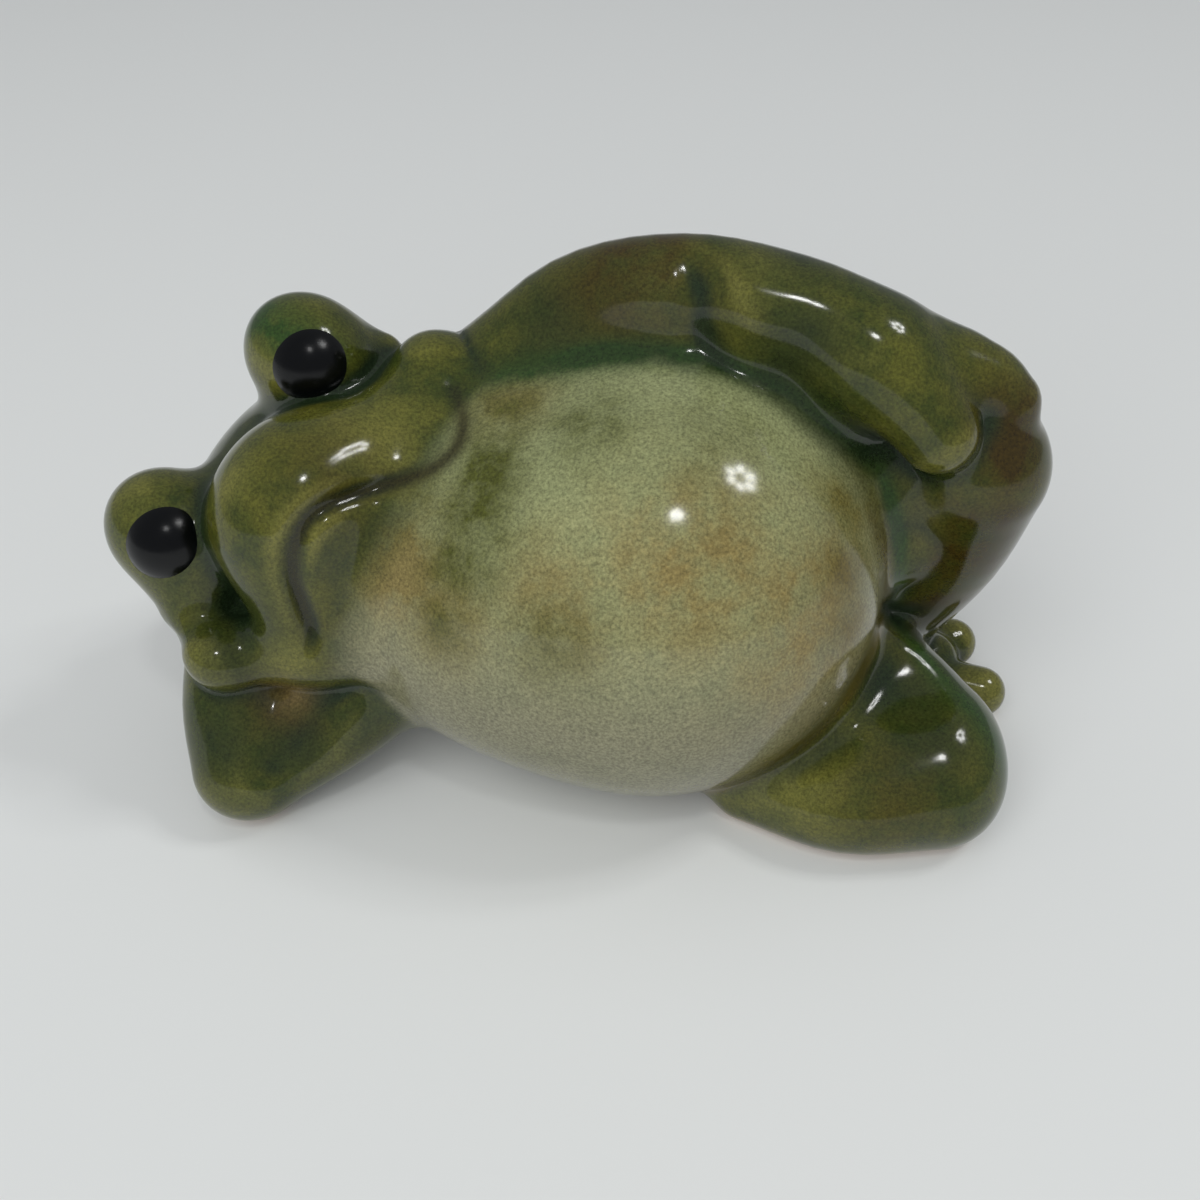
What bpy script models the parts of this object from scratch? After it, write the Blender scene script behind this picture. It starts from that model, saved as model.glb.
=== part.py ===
"""Glazed ceramic frog figurine that lies on its side with its head propped on one hand.

The figurine is slip-cast in several plaster moulds. The castings are trimmed, luted together with
slip and glazed, so each casting is one object here. The torso and the head are hollow, and a passage
through the neck joins their cavities, with a vent hole under the belly for the firing.

Units are metres, +Z is up, the unglazed feet stand on the plane z = 0, and the frog's head is at -X.
Places on the body are given in half-sizes of the belly egg, and places on the head in half-sizes of
the skull egg, so that the limbs, the features and the seats follow when a size changes.
"""

import bpy
import bmesh
from mathutils import Matrix, Vector
from mathutils.bvhtree import BVHTree

MM = 0.001

# Driving dimensions: each one can be changed by itself.
BELLY_HALF_LENGTH = 39.0 * MM
BELLY_HALF_DEPTH = 36.0 * MM
BELLY_HALF_HEIGHT = 38.0 * MM
HEAD_HALF_WIDTH = 27.5 * MM
HEAD_HALF_HEIGHT = 19.0 * MM
HEAD_HALF_DEPTH = 22.0 * MM
NECK_RADIUS = 26.0 * MM
EYE_RADIUS = 7.2 * MM
MOUTH_GROOVE_RADIUS = 1.4 * MM
MOUTH_GROOVE_DEPTH = 1.0 * MM
UPPER_ARM_RADIUS = 9.5 * MM
FOREARM_RADIUS = 8.5 * MM
FINGER_RADIUS = 5.0 * MM
THIGH_RADIUS = 16.0 * MM
KNEE_RADIUS = 12.0 * MM
ANKLE_RADIUS = 7.0 * MM
TOE_RADIUS = 5.0 * MM
CASTING_WALL = 4.0 * MM
VENT_RADIUS = 4.0 * MM
NECK_HOLE_RADIUS = 6.0 * MM

# Clearance between neighbouring castings, and how far each foot is ground flat.
LUTING_GAP = 0.3 * MM
FOOT_GRIND = 0.8 * MM
BELLY_GRIND = 2.0 * MM

# Mesh settings.
VOXEL = 1.6 * MM
SMOOTH_PASSES = {
    "torso": 30,
    "torso_hollow": 30,
    "head": 6,
    "head_hollow": 12,
    "raised_leg": 12,
    "raised_foot": 4,
    "folded_leg": 14,
    "propping_arm": 6,
    "draped_arm": 4,
    "left_eye": 2,
    "right_eye": 2,
}
WELD_DISTANCE = 0.01 * MM
BALL_SUBDIVISIONS = 4
TRIANGLES = {
    "torso": 2600,
    "torso_hollow": 600,
    "head": 2400,
    "head_hollow": 400,
    "raised_leg": 1100,
    "folded_leg": 1000,
    "raised_foot": 500,
    "propping_arm": 1000,
    "draped_arm": 1500,
    "left_eye": 300,
    "right_eye": 300,
}
LIMB_SIDES = 6
GROOVE_SIDES = 2
CURVE_STEPS = 8
ROD_SIDES = 24
TABLE_SIZE = 0.6
TABLE_DEPTH = 0.1

BELLY_CENTRE = Vector((0.0, 0.0, BELLY_HALF_HEIGHT - BELLY_GRIND))
FACE_AXIS = Vector((0.165, -0.835, 0.525)).normalized()
SIDE_AXIS = Vector((0.637, 0.497, 0.593))
SIDE_AXIS = (SIDE_AXIS - FACE_AXIS * SIDE_AXIS.dot(FACE_AXIS)).normalized()
CROWN_AXIS = FACE_AXIS.cross(SIDE_AXIS).normalized()
EYE_PLACE = (0.67, -0.04, 0.21)
MOUTH_LINE = [(-0.53, -1.46), (-0.42, -1.25), (-0.31, -1.07), (-0.17, -0.93), (0.0, -0.86),
              (0.18, -0.95), (0.40, -1.16), (0.62, -1.36), (0.82, -1.42), (0.98, -1.35)]
IN_FRONT_OF_FACE = 3.0
BELOW_BELLY = -1.2
HEAD_TURN = Matrix((SIDE_AXIS, CROWN_AXIS, FACE_AXIS)).transposed()

COLOURS = {
    "torso": (0.42, 0.46, 0.33, 1.0),
    "head": (0.20, 0.24, 0.09, 1.0),
    "propping_arm": (0.12, 0.15, 0.06, 1.0),
    "draped_arm": (0.15, 0.17, 0.06, 1.0),
    "raised_leg": (0.14, 0.14, 0.05, 1.0),
    "raised_foot": (0.09, 0.13, 0.05, 1.0),
    "folded_leg": (0.15, 0.18, 0.06, 1.0),
    "left_eye": (0.008, 0.009, 0.013, 1.0),
    "right_eye": (0.008, 0.009, 0.013, 1.0),
}
GLAZE_ROUGHNESS = 0.12
ROUGHNESS = {"left_eye": 0.38, "right_eye": 0.38}


def clear_scene():
    """Remove every object that the scene starts with."""
    for item in list(bpy.data.objects):
        bpy.data.objects.remove(item, do_unlink=True)


def body(along, across, up):
    """Return a point given in half-sizes of the belly egg from its centre."""
    halves = Vector((BELLY_HALF_LENGTH * along, BELLY_HALF_DEPTH * across, BELLY_HALF_HEIGHT * up))
    return BELLY_CENTRE + halves


def on_foot(along, across, radius):
    """Return the centre of a ball of this radius whose foot is ground flat on the table."""
    place = body(along, across, 0.0)
    place.z = radius - FOOT_GRIND
    return place


HEAD_CENTRE = body(-1.79, 0.24, 0.56)


def on_head(side, crown, face):
    """Return a point given in half-sizes of the skull egg from the middle of the eye line."""
    offset = Vector((HEAD_HALF_WIDTH * side, HEAD_HALF_HEIGHT * crown, HEAD_HALF_DEPTH * face))
    return HEAD_CENTRE + HEAD_TURN @ offset


def link(name, mesh):
    """Make an object of this mesh in the scene."""
    item = bpy.data.objects.new(name, mesh)
    bpy.context.scene.collection.objects.link(item)
    return item


def hide_guide(item):
    """Mark an object as a cutter, which is no part of the figurine."""
    item.hide_render = True
    item.display_type = "WIRE"
    return item


def baked(item):
    """Return the mesh that an object's modifiers give, and remove the object."""
    graph = bpy.context.evaluated_depsgraph_get()
    mesh = bpy.data.meshes.new_from_object(item.evaluated_get(graph))
    mesh.name = item.name
    bpy.data.objects.remove(item, do_unlink=True)
    return mesh


def welded(mesh):
    """Join the end caps of a tube to its wall."""
    bm = bmesh.new()
    bm.from_mesh(mesh)
    bmesh.ops.remove_doubles(bm, verts=bm.verts, dist=WELD_DISTANCE)
    bm.to_mesh(mesh)
    bm.free()
    return mesh


def egg(place, radii, turn=None):
    """Describe an egg by its centre, its three half-sizes and the turn of its axes."""
    return {"place": place, "radii": Vector(radii), "turn": turn or Matrix.Identity(3)}


def body_egg(place, shares):
    """Describe an egg along the body's axes, with half-sizes as shares of the belly's."""
    halves = (BELLY_HALF_LENGTH, BELLY_HALF_DEPTH, BELLY_HALF_HEIGHT)
    return egg(place, [half * share for half, share in zip(halves, shares)])


def head_egg(place, shares):
    """Describe an egg along the head's axes, with half-sizes as shares of the skull's."""
    halves = (HEAD_HALF_WIDTH, HEAD_HALF_HEIGHT, HEAD_HALF_DEPTH)
    return egg(place, [half * share for half, share in zip(halves, shares)], HEAD_TURN)


def add_egg(bm, form, wall=0.0):
    """Add an egg to a mesh, with its half-sizes reduced by a wall."""
    radii = form["radii"] - Vector((wall, wall, wall))
    turn = form["turn"].to_4x4()
    matrix = Matrix.Translation(form["place"]) @ turn @ Matrix.Diagonal(radii.to_4d())
    bmesh.ops.create_icosphere(bm, subdivisions=BALL_SUBDIVISIONS, radius=1.0, matrix=matrix)


def smooth_curve(name, knots, sides):
    """Make a round tube through knots of (place, radius), smooth in place and in radius."""
    curve = bpy.data.curves.new(name, "CURVE")
    curve.dimensions = "3D"
    curve.bevel_depth = 1.0
    curve.bevel_resolution = sides
    curve.resolution_u = CURVE_STEPS
    curve.use_fill_caps = True
    spline = curve.splines.new("BEZIER")
    spline.radius_interpolation = "CARDINAL"
    spline.bezier_points.add(len(knots) - 1)
    for point, (place, radius) in zip(spline.bezier_points, knots):
        point.co = place
        point.radius = radius
        point.handle_left_type = "AUTO"
        point.handle_right_type = "AUTO"
    return curve


def add_limb(bm, knots):
    """Add a limb with round ends to a mesh, through knots of (place, radius)."""
    tube = baked(link("limb", smooth_curve("limb", knots, LIMB_SIDES)))
    bm.from_mesh(tube)
    bpy.data.meshes.remove(tube)
    for place, radius in (knots[0], knots[-1]):
        add_egg(bm, egg(place, (radius, radius, radius)))


def drop_crumbs(mesh):
    """Keep only the largest connected piece of a mesh, as a potter brushes crumbs off a seam."""
    bm = bmesh.new()
    bm.from_mesh(mesh)
    waiting = set(bm.faces)
    pieces = []
    while waiting:
        front = [waiting.pop()]
        piece = set(front)
        while front:
            face = front.pop()
            near = {other for edge in face.edges for other in edge.link_faces} & waiting
            waiting -= near
            piece |= near
            front.extend(near)
        pieces.append(piece)
    largest = max(pieces, key=lambda piece: sum(face.calc_area() for face in piece))
    crumbs = [face for face in bm.faces if face not in largest]
    bmesh.ops.delete(bm, geom=crumbs, context="FACES")
    bm.to_mesh(mesh)
    bm.free()
    return mesh


def thinned(name, mesh, triangles):
    """Return a mesh thinned to about this many triangles."""
    mesh.calc_loop_triangles()
    item = link(name, mesh)
    thin = item.modifiers.new("thin", "DECIMATE")
    thin.ratio = min(1.0, triangles / len(mesh.loop_triangles))
    return drop_crumbs(baked(item))


def cast(name, eggs, limbs=(), wall=0.0):
    """Merge eggs and limbs into one smooth closed skin.

    The shapes are joined by a voxel remesh, and their joins are smoothed into fillets.
    """
    mesh = bpy.data.meshes.new(name)
    bm = bmesh.new()
    for form in eggs:
        add_egg(bm, form, wall)
    for knots in limbs:
        add_limb(bm, knots)
    bm.to_mesh(mesh)
    bm.free()
    item = link(name, mesh)
    remesh = item.modifiers.new("join", "REMESH")
    remesh.mode = "VOXEL"
    remesh.voxel_size = VOXEL
    smooth = item.modifiers.new("fillet", "SMOOTH")
    smooth.factor = 0.5
    smooth.iterations = SMOOTH_PASSES[name]
    return thinned(name, baked(item), TRIANGLES[name])


def glaze(name):
    """Make the glaze of one casting."""
    material = bpy.data.materials.new(name + "_glaze")
    material.use_nodes = True
    shader = material.node_tree.nodes["Principled BSDF"]
    shader.inputs["Base Color"].default_value = COLOURS[name]
    shader.inputs["Roughness"].default_value = ROUGHNESS.get(name, GLAZE_ROUGHNESS)
    shader.inputs["Metallic"].default_value = 0.0
    return material


def make_node(name, mesh):
    """Make a figurine part from a finished skin."""
    item = link(name, mesh)
    mesh.materials.clear()
    mesh.materials.append(glaze(name))
    mesh.shade_smooth()
    return item


def cut(item, cutter):
    """Cut one closed shape out of a part."""
    step = item.modifiers.new("cut_" + cutter.name, "BOOLEAN")
    step.operation = "DIFFERENCE"
    step.solver = "EXACT"
    step.object = cutter


def grown(name, mesh):
    """Return a copy of a casting that is larger all over by the luting gap, as a cutter."""
    item = hide_guide(link(name + "_with_gap", mesh.copy()))
    step = item.modifiers.new("gap", "DISPLACE")
    step.direction = "NORMAL"
    step.mid_level = 0.0
    step.strength = LUTING_GAP
    return item


def slab(name, top):
    """Make a wide block whose upper face is at this height, to grind things flat."""
    mesh = bpy.data.meshes.new(name)
    bm = bmesh.new()
    size = Matrix.Diagonal((TABLE_SIZE, TABLE_SIZE, TABLE_DEPTH, 1.0))
    place = Matrix.Translation((0.0, 0.0, top - TABLE_DEPTH / 2.0))
    bmesh.ops.create_cube(bm, size=1.0, matrix=place @ size)
    bm.to_mesh(mesh)
    bm.free()
    return hide_guide(link(name, mesh))


def rod(name, start, end, radius):
    """Make a round cutter between two points."""
    mesh = bpy.data.meshes.new(name)
    bm = bmesh.new()
    run = end - start
    turn = run.to_track_quat("Z", "Y").to_matrix().to_4x4()
    matrix = Matrix.Translation((start + end) / 2.0) @ turn
    bmesh.ops.create_cone(bm, cap_ends=True, segments=ROD_SIDES, radius1=radius, radius2=radius,
                          depth=run.length, matrix=matrix)
    bm.to_mesh(mesh)
    bm.free()
    return hide_guide(link(name, mesh))


def torso_forms():
    """List the eggs of the belly, chest, back and neck."""
    return [
        body_egg(body(0.0, 0.0, 0.0), (1.0, 1.0, 1.0)),
        body_egg(body(-0.50, 0.03, -0.03), (0.90, 0.84, 0.82)),
        body_egg(body(0.03, 0.58, 0.16), (1.38, 0.75, 0.95)),
        egg(body(-0.80, 0.42, 0.20), (NECK_RADIUS, NECK_RADIUS, NECK_RADIUS)),
    ]


def skull_forms():
    """List the eggs of the skull, snout and chin."""
    return [
        head_egg(on_head(0.0, -0.79, -0.68), (1.0, 1.0, 1.0)),
        head_egg(on_head(0.0, -0.79, 0.23), (0.69, 0.74, 0.77)),
        head_egg(on_head(0.0, -1.13, 0.05), (1.07, 0.53, 0.73)),
        head_egg(on_head(0.0, -1.68, -0.09), (0.87, 0.74, 0.73)),
    ]


def face_forms():
    """List the eggs of both eye mounds, both cheeks and the jaw."""
    return [
        head_egg(on_head(0.71, 0.0, -0.06), (0.36, 0.60, 0.48)),
        head_egg(on_head(-0.65, 0.0, -0.06), (0.36, 0.60, 0.48)),
        head_egg(on_head(1.10, -0.98, 0.07), (0.26, 0.39, 0.38)),
        head_egg(on_head(-1.01, -0.95, 0.07), (0.22, 0.35, 0.34)),
        head_egg(on_head(-0.70, -1.45, 0.14), (0.24, 0.34, 0.28)),
    ]


def mouth_cutter(head_mesh):
    """Make the cutter of the mouth line, which lies on the face wherever the face is."""
    bm = bmesh.new()
    bm.from_mesh(head_mesh)
    tree = BVHTree.FromBMesh(bm)
    bm.free()
    lift = MOUTH_GROOVE_RADIUS - MOUTH_GROOVE_DEPTH
    knots = []
    for side, crown in MOUTH_LINE:
        start = on_head(side, crown, IN_FRONT_OF_FACE)
        hit, normal, _face, _distance = tree.ray_cast(start, -FACE_AXIS)
        knots.append((hit + normal * lift, MOUTH_GROOVE_RADIUS))
    mesh = welded(baked(link("mouth_line", smooth_curve("mouth_line", knots, GROOVE_SIDES))))
    return hide_guide(link("mouth_line", mesh))


def propping_arm_limbs():
    """List the upper arm, the forearm, the palm and the finger at the cheek."""
    elbow = on_foot(-1.82, -0.53, FOREARM_RADIUS)
    wrist = body(-1.84, -0.14, -0.22)
    return [
        [(body(-1.00, -0.08, -0.26), UPPER_ARM_RADIUS), (body(-1.38, -0.33, -0.53), UPPER_ARM_RADIUS),
         (elbow, FOREARM_RADIUS)],
        [(elbow, FOREARM_RADIUS), (body(-1.84, -0.34, -0.48), FOREARM_RADIUS),
         (wrist, FOREARM_RADIUS)],
        [(wrist, FOREARM_RADIUS), (body(-1.44, -0.11, -0.24), FOREARM_RADIUS)],
        [(wrist, FOREARM_RADIUS), (body(-2.05, -0.04, -0.06), FINGER_RADIUS)],
    ]


def draped_arm_limbs():
    """List the upper arm, the forearm and the two fingers over the raised knee."""
    elbow = body(0.09, 0.42, 1.21)
    fold = body(0.29, 0.25, 1.20)
    wrist = body(0.90, 0.25, 1.05)
    return [
        [(body(-0.80, 0.50, 0.60), UPPER_ARM_RADIUS), (body(-0.33, 0.53, 1.03), UPPER_ARM_RADIUS),
         (elbow, UPPER_ARM_RADIUS)],
        [(elbow, UPPER_ARM_RADIUS), (fold, FOREARM_RADIUS)],
        [(fold, FOREARM_RADIUS), (body(0.55, 0.25, 1.17), FOREARM_RADIUS), (wrist, FOREARM_RADIUS)],
        [(wrist, FOREARM_RADIUS), (body(1.13, 0.26, 0.95), FOREARM_RADIUS)],
        [(body(0.96, 0.08, 1.03), FINGER_RADIUS), (body(1.05, -0.04, 0.90), FINGER_RADIUS),
         (body(1.12, -0.12, 0.77), FINGER_RADIUS)],
        [(body(1.10, 0.19, 1.02), FINGER_RADIUS), (body(1.31, 0.21, 0.97), FINGER_RADIUS),
         (body(1.43, 0.16, 0.88), FINGER_RADIUS)],
    ]


def raised_leg_limbs():
    """List the thigh and the shin of the raised leg."""
    knee = body(1.34, 0.18, 0.53)
    return [
        [(body(0.74, 0.58, -0.05), THIGH_RADIUS), (body(1.15, 0.36, 0.42), THIGH_RADIUS),
         (knee, KNEE_RADIUS)],
        [(knee, KNEE_RADIUS), (body(1.30, 0.28, 0.05), KNEE_RADIUS),
         (on_foot(1.15, 0.47, ANKLE_RADIUS), ANKLE_RADIUS)],
    ]


def raised_foot_limbs():
    """List the sole and the two toes of the raised leg's foot."""
    heel = on_foot(1.15, 0.47, ANKLE_RADIUS)
    ball = on_foot(1.41, 0.42, TOE_RADIUS)
    toes = [[(on_foot(1.36, across, TOE_RADIUS), TOE_RADIUS),
             (on_foot(1.60, across - 0.03, TOE_RADIUS), TOE_RADIUS)] for across in (0.25, 0.53)]
    return [[(heel, ANKLE_RADIUS), (ball, TOE_RADIUS)]] + toes


def folded_leg_limbs():
    """List the thigh and the shin of the leg that lies folded on the table."""
    return [
        [(body(0.64, 0.03, -0.51), THIGH_RADIUS), (body(0.96, -0.26, -0.52), THIGH_RADIUS),
         (on_foot(1.21, -0.47, KNEE_RADIUS), KNEE_RADIUS)],
        [(on_foot(1.21, -0.53, KNEE_RADIUS), KNEE_RADIUS),
         (on_foot(0.85, -0.64, (KNEE_RADIUS + ANKLE_RADIUS) / 2.0), (KNEE_RADIUS + ANKLE_RADIUS) / 2.0),
         (on_foot(0.44, -0.56, ANKLE_RADIUS), ANKLE_RADIUS)],
    ]


def centre_on_table(nodes, guides):
    """Hang everything on one empty and move it so that the figurine's box is centred."""
    bpy.context.view_layer.update()
    graph = bpy.context.evaluated_depsgraph_get()
    corners = []
    for node in nodes:
        shown = node.evaluated_get(graph)
        corners += [vertex.co.copy() for vertex in shown.to_mesh().vertices]
        shown.to_mesh_clear()
    middle_x = (min(c.x for c in corners) + max(c.x for c in corners)) / 2.0
    middle_y = (min(c.y for c in corners) + max(c.y for c in corners)) / 2.0
    stand = bpy.data.objects.new("stand", None)
    bpy.context.scene.collection.objects.link(stand)
    stand.location = (-middle_x, -middle_y, 0.0)
    for item in nodes + guides:
        item.parent = stand
    bpy.context.view_layer.update()


def build_cutters(meshes):
    """Make the cutters of the hollows, the vent and the neck passage."""
    torso_hollow = hide_guide(link("torso_hollow", cast("torso_hollow", torso_forms(),
                                                        wall=CASTING_WALL)))
    cut(torso_hollow, slab("inner_floor", CASTING_WALL))
    head_hollow = hide_guide(link("head_hollow", cast("head_hollow", skull_forms(),
                                                      wall=CASTING_WALL)))
    return {
        "table": slab("table", 0.0),
        "torso_hollow": torso_hollow,
        "head_hollow": head_hollow,
        "vent": rod("vent", body(0.0, 0.0, BELOW_BELLY), body(0.0, 0.0, 0.0), VENT_RADIUS),
        "neck_hole": rod("neck_hole", body(-0.60, 0.42, 0.10), on_head(0.0, -0.79, -0.68),
                         NECK_HOLE_RADIUS),
        "mouth": mouth_cutter(meshes["head"]),
    }


def main():
    """Build the figurine."""
    clear_scene()
    eye = (EYE_RADIUS, EYE_RADIUS, EYE_RADIUS)
    forms = {
        "torso": (torso_forms(), []),
        "head": (skull_forms() + face_forms(), []),
        "raised_leg": ([], raised_leg_limbs()),
        "folded_leg": ([], folded_leg_limbs()),
        "raised_foot": ([], raised_foot_limbs()),
        "propping_arm": ([], propping_arm_limbs()),
        "draped_arm": ([], draped_arm_limbs()),
        "left_eye": ([egg(on_head(*EYE_PLACE), eye)], []),
        "right_eye": ([egg(on_head(-EYE_PLACE[0], *EYE_PLACE[1:]), eye)], []),
    }
    meshes = {name: cast(name, eggs, limbs) for name, (eggs, limbs) in forms.items()}
    cutters = build_cutters(meshes)
    for name in ("torso", "head", "raised_leg", "folded_leg"):
        cutters[name] = grown(name, meshes[name])
    cuts = {
        "torso": ("table", "torso_hollow", "vent", "neck_hole"),
        "head": ("torso", "head_hollow", "neck_hole", "mouth"),
        "raised_leg": ("torso", "table"),
        "folded_leg": ("torso", "raised_leg", "table"),
        "raised_foot": ("torso", "raised_leg", "folded_leg", "table"),
        "propping_arm": ("torso", "head", "table"),
        "draped_arm": ("torso", "raised_leg", "head"),
        "left_eye": ("head",),
        "right_eye": ("head",),
    }
    nodes = []
    for name, mesh in meshes.items():
        item = link(name, mesh)
        for cutter in cuts[name]:
            cut(item, cutters[cutter])
        nodes.append(make_node(name, drop_crumbs(baked(item))))
    guides = list(cutters.values()) + [bpy.data.objects["inner_floor"]]
    centre_on_table(nodes, guides)


main()
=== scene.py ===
"""Glazed ceramic frog that lies on its side with its head propped on one hand.

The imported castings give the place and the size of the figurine. This script builds the fired and
glazed surface over them: one smooth form, on which the glaze runs over every luted joint, cut back
into one shell for each casting. The glaze pools dark in the grooves, thins to olive on the ridges and
leaves the belly pale, and those films are worked out from the curvature of the form.

Lengths in the form are millimetres, measured from the point of the table below the belly's middle:
+X towards the feet, +Y towards the back, +Z up.
"""

from __future__ import annotations

import logging
import math
from dataclasses import dataclass
from enum import Enum
from typing import Sequence

import bpy
import numpy as np
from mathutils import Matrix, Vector

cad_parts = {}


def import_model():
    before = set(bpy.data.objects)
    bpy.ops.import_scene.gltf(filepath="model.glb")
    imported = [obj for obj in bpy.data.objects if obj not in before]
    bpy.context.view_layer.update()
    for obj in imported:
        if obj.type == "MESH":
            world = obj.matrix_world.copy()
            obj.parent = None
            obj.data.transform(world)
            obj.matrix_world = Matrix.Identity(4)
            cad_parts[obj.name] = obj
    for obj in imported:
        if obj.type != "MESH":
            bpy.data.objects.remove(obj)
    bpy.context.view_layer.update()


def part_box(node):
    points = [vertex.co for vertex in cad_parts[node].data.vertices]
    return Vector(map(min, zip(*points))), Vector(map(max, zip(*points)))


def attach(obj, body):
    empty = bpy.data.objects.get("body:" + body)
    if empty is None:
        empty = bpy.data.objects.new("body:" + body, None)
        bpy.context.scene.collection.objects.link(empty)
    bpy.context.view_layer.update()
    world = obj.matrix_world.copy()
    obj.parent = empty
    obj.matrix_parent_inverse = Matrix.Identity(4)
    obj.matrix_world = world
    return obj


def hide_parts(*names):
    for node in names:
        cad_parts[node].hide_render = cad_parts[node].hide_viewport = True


LOG = logging.getLogger("frog")
MM = 0.001

Triple = tuple[float, float, float]
Knot = tuple[float, float, float, float]
Spot = tuple[float, float, float, float, float]


# ---------------------------------------------------------------- form: solids and joins


def unit(vector: Sequence[float]) -> np.ndarray:
    """Return a vector of length one."""
    array = np.asarray(vector, float)
    return array / np.linalg.norm(array)


def column(vector: Sequence[float]) -> np.ndarray:
    """Return a vector as a column, to work on points that are stored as columns."""
    return np.asarray(vector, np.float32)[:, None]


def length(vectors: np.ndarray) -> np.ndarray:
    """Return the length of each column."""
    return np.sqrt((vectors * vectors).sum(0))


def fuse(first: np.ndarray, second: np.ndarray, fillet: float) -> np.ndarray:
    """Join two distance fields with a fillet.

    Args:
        first: Distances to one form, negative inside.
        second: Distances to the other form.
        fillet: Width of the fillet in millimetres.

    Returns:
        Distances to the joined form.
    """
    overlap = np.maximum(fillet - np.abs(first - second), 0.0)
    return np.minimum(first, second) - overlap * overlap / (4.0 * fillet)


def carve(form: np.ndarray, tool: np.ndarray, fillet: float) -> np.ndarray:
    """Cut a tool out of a form, with rounded lips."""
    return -fuse(-form, tool, fillet)


def smooth_route(knots: Sequence[Sequence[float]], steps: int) -> np.ndarray:
    """Draw a smooth curve through knots.

    Args:
        knots: Points with any number of values each.
        steps: Number of short runs between two knots.

    Returns:
        The curve's points, one row each.
    """
    given = np.asarray(knots, float)
    padded = np.vstack([2 * given[0] - given[1], given, 2 * given[-1] - given[-2]])
    shares = np.linspace(0.0, 1.0, steps, endpoint=False)[:, None]
    rows = []
    for before, start, end, after in zip(padded, padded[1:], padded[2:], padded[3:]):
        linear = (end - before) * shares
        square = (2 * before - 5 * start + 4 * end - after) * shares**2
        cube = (3 * start - before - 3 * end + after) * shares**3
        rows.append(0.5 * (2 * start + linear + square + cube))
    return np.vstack(rows + [given[-1:]])


@dataclass(frozen=True)
class Egg:
    """An egg-shaped lump of clay, by its middle and its three half-sizes."""

    middle: Triple
    halves: Triple
    axes: np.ndarray | None = None

    def distance(self, points: np.ndarray) -> np.ndarray:
        """Return the distance to the egg's surface.

        Args:
            points: Places in millimetres, as columns.

        Returns:
            One distance per point, negative inside.
        """
        offset = points - column(self.middle)
        if self.axes is not None:
            offset = self.axes.T.astype(np.float32) @ offset
        halves = column(self.halves)
        scaled = length(offset / halves)
        slope = length(offset / halves**2)
        return scaled * (scaled - 1.0) / np.maximum(slope, 1e-6)


@dataclass(frozen=True)
class Limb:
    """A round limb along knots of (x, y, z, radius), with a number of short runs between two knots."""

    knots: Sequence[Knot]
    steps: int = 5

    def distance(self, points: np.ndarray) -> np.ndarray:
        """Return the distance to the limb's surface.

        Args:
            points: Places in millimetres, as columns.

        Returns:
            One distance per point, negative inside.
        """
        route = smooth_route(self.knots, self.steps)
        nearest = np.full(points.shape[1], np.inf, np.float32)
        for start, end in zip(route, route[1:]):
            run = (end - start).astype(np.float32)
            square = run[:3] @ run[:3]
            offset = points - column(start[:3])
            along = run[:3] @ offset
            across = np.sqrt(np.maximum((offset * offset).sum(0) - along * along / square, 0.0))
            lean = run[3] / math.sqrt(max(square - run[3] * run[3], 0.01 * square))
            share = np.clip((along / math.sqrt(square) + across * lean) / math.sqrt(square), 0.0, 1.0)
            gap = offset - run[:3, None] * share
            nearest = np.minimum(nearest, length(gap) - (start[3] + share * run[3]))
        return nearest


@dataclass(frozen=True)
class HeadAxes:
    """The head's own axes: origin in the middle of the eye line."""

    origin: Triple = (-69.8, 8.8, 57.4)
    side: Triple = (0.637, 0.497, 0.593)
    face: Triple = (0.165, -0.835, 0.525)

    def turn(self) -> np.ndarray:
        """Return the matrix whose columns point to the frog's left, the crown and the face."""
        face = unit(self.face)
        side = unit(np.asarray(self.side) - face * (np.asarray(self.side) @ face))
        return np.stack([side, np.cross(face, side), face], 1)

    def at(self, side: float, crown: float, face: float) -> Triple:
        """Return a point given along the head's axes."""
        return tuple(np.asarray(self.origin) + self.turn() @ np.array([side, crown, face]))

    def knot(self, side: float, crown: float, face: float, radius: float) -> Knot:
        """Return a limb's knot given along the head's axes."""
        return (*self.at(side, crown, face), radius)

    def inside(self, points: np.ndarray) -> np.ndarray:
        """Return points along the head's axes."""
        return self.turn().T.astype(np.float32) @ (points - column(self.origin))


HEAD = HeadAxes()


def crease(flat: np.ndarray, route: np.ndarray, width: float, depth: float) -> np.ndarray:
    """Return how deep a soft crease is pressed at each point.

    Args:
        flat: Points in the plane that the crease is drawn in, as columns.
        route: The crease's line in that plane, one (x, y, strength) a row.
        width: Half-width of the crease in millimetres.
        depth: Depth of the crease at strength 1 in millimetres.

    Returns:
        One depth per point, in millimetres.
    """
    pressed = np.zeros(flat.shape[1], np.float32)
    reach = width * 2.5
    span = [(route[:, axis].min() - reach, route[:, axis].max() + reach) for axis in (0, 1)]
    close = np.all([(low < row) & (row < high) for row, (low, high) in zip(flat, span)], 0)
    near = flat[:, close]
    best = np.zeros(near.shape[1], np.float32)
    for start, end in zip(route.astype(np.float32), route[1:].astype(np.float32)):
        run = end - start
        offset = near - column(start[:2])
        share = np.clip((run[:2] @ offset) / (run[:2] @ run[:2]), 0.0, 1.0)
        gap = offset - run[:2, None] * share
        strength = start[2] + share * run[2]
        best = np.maximum(best, strength * np.exp(-(gap * gap).sum(0) / width**2))
    pressed[close] = best
    return depth * pressed


# ---------------------------------------------------------------- form: the castings


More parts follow.
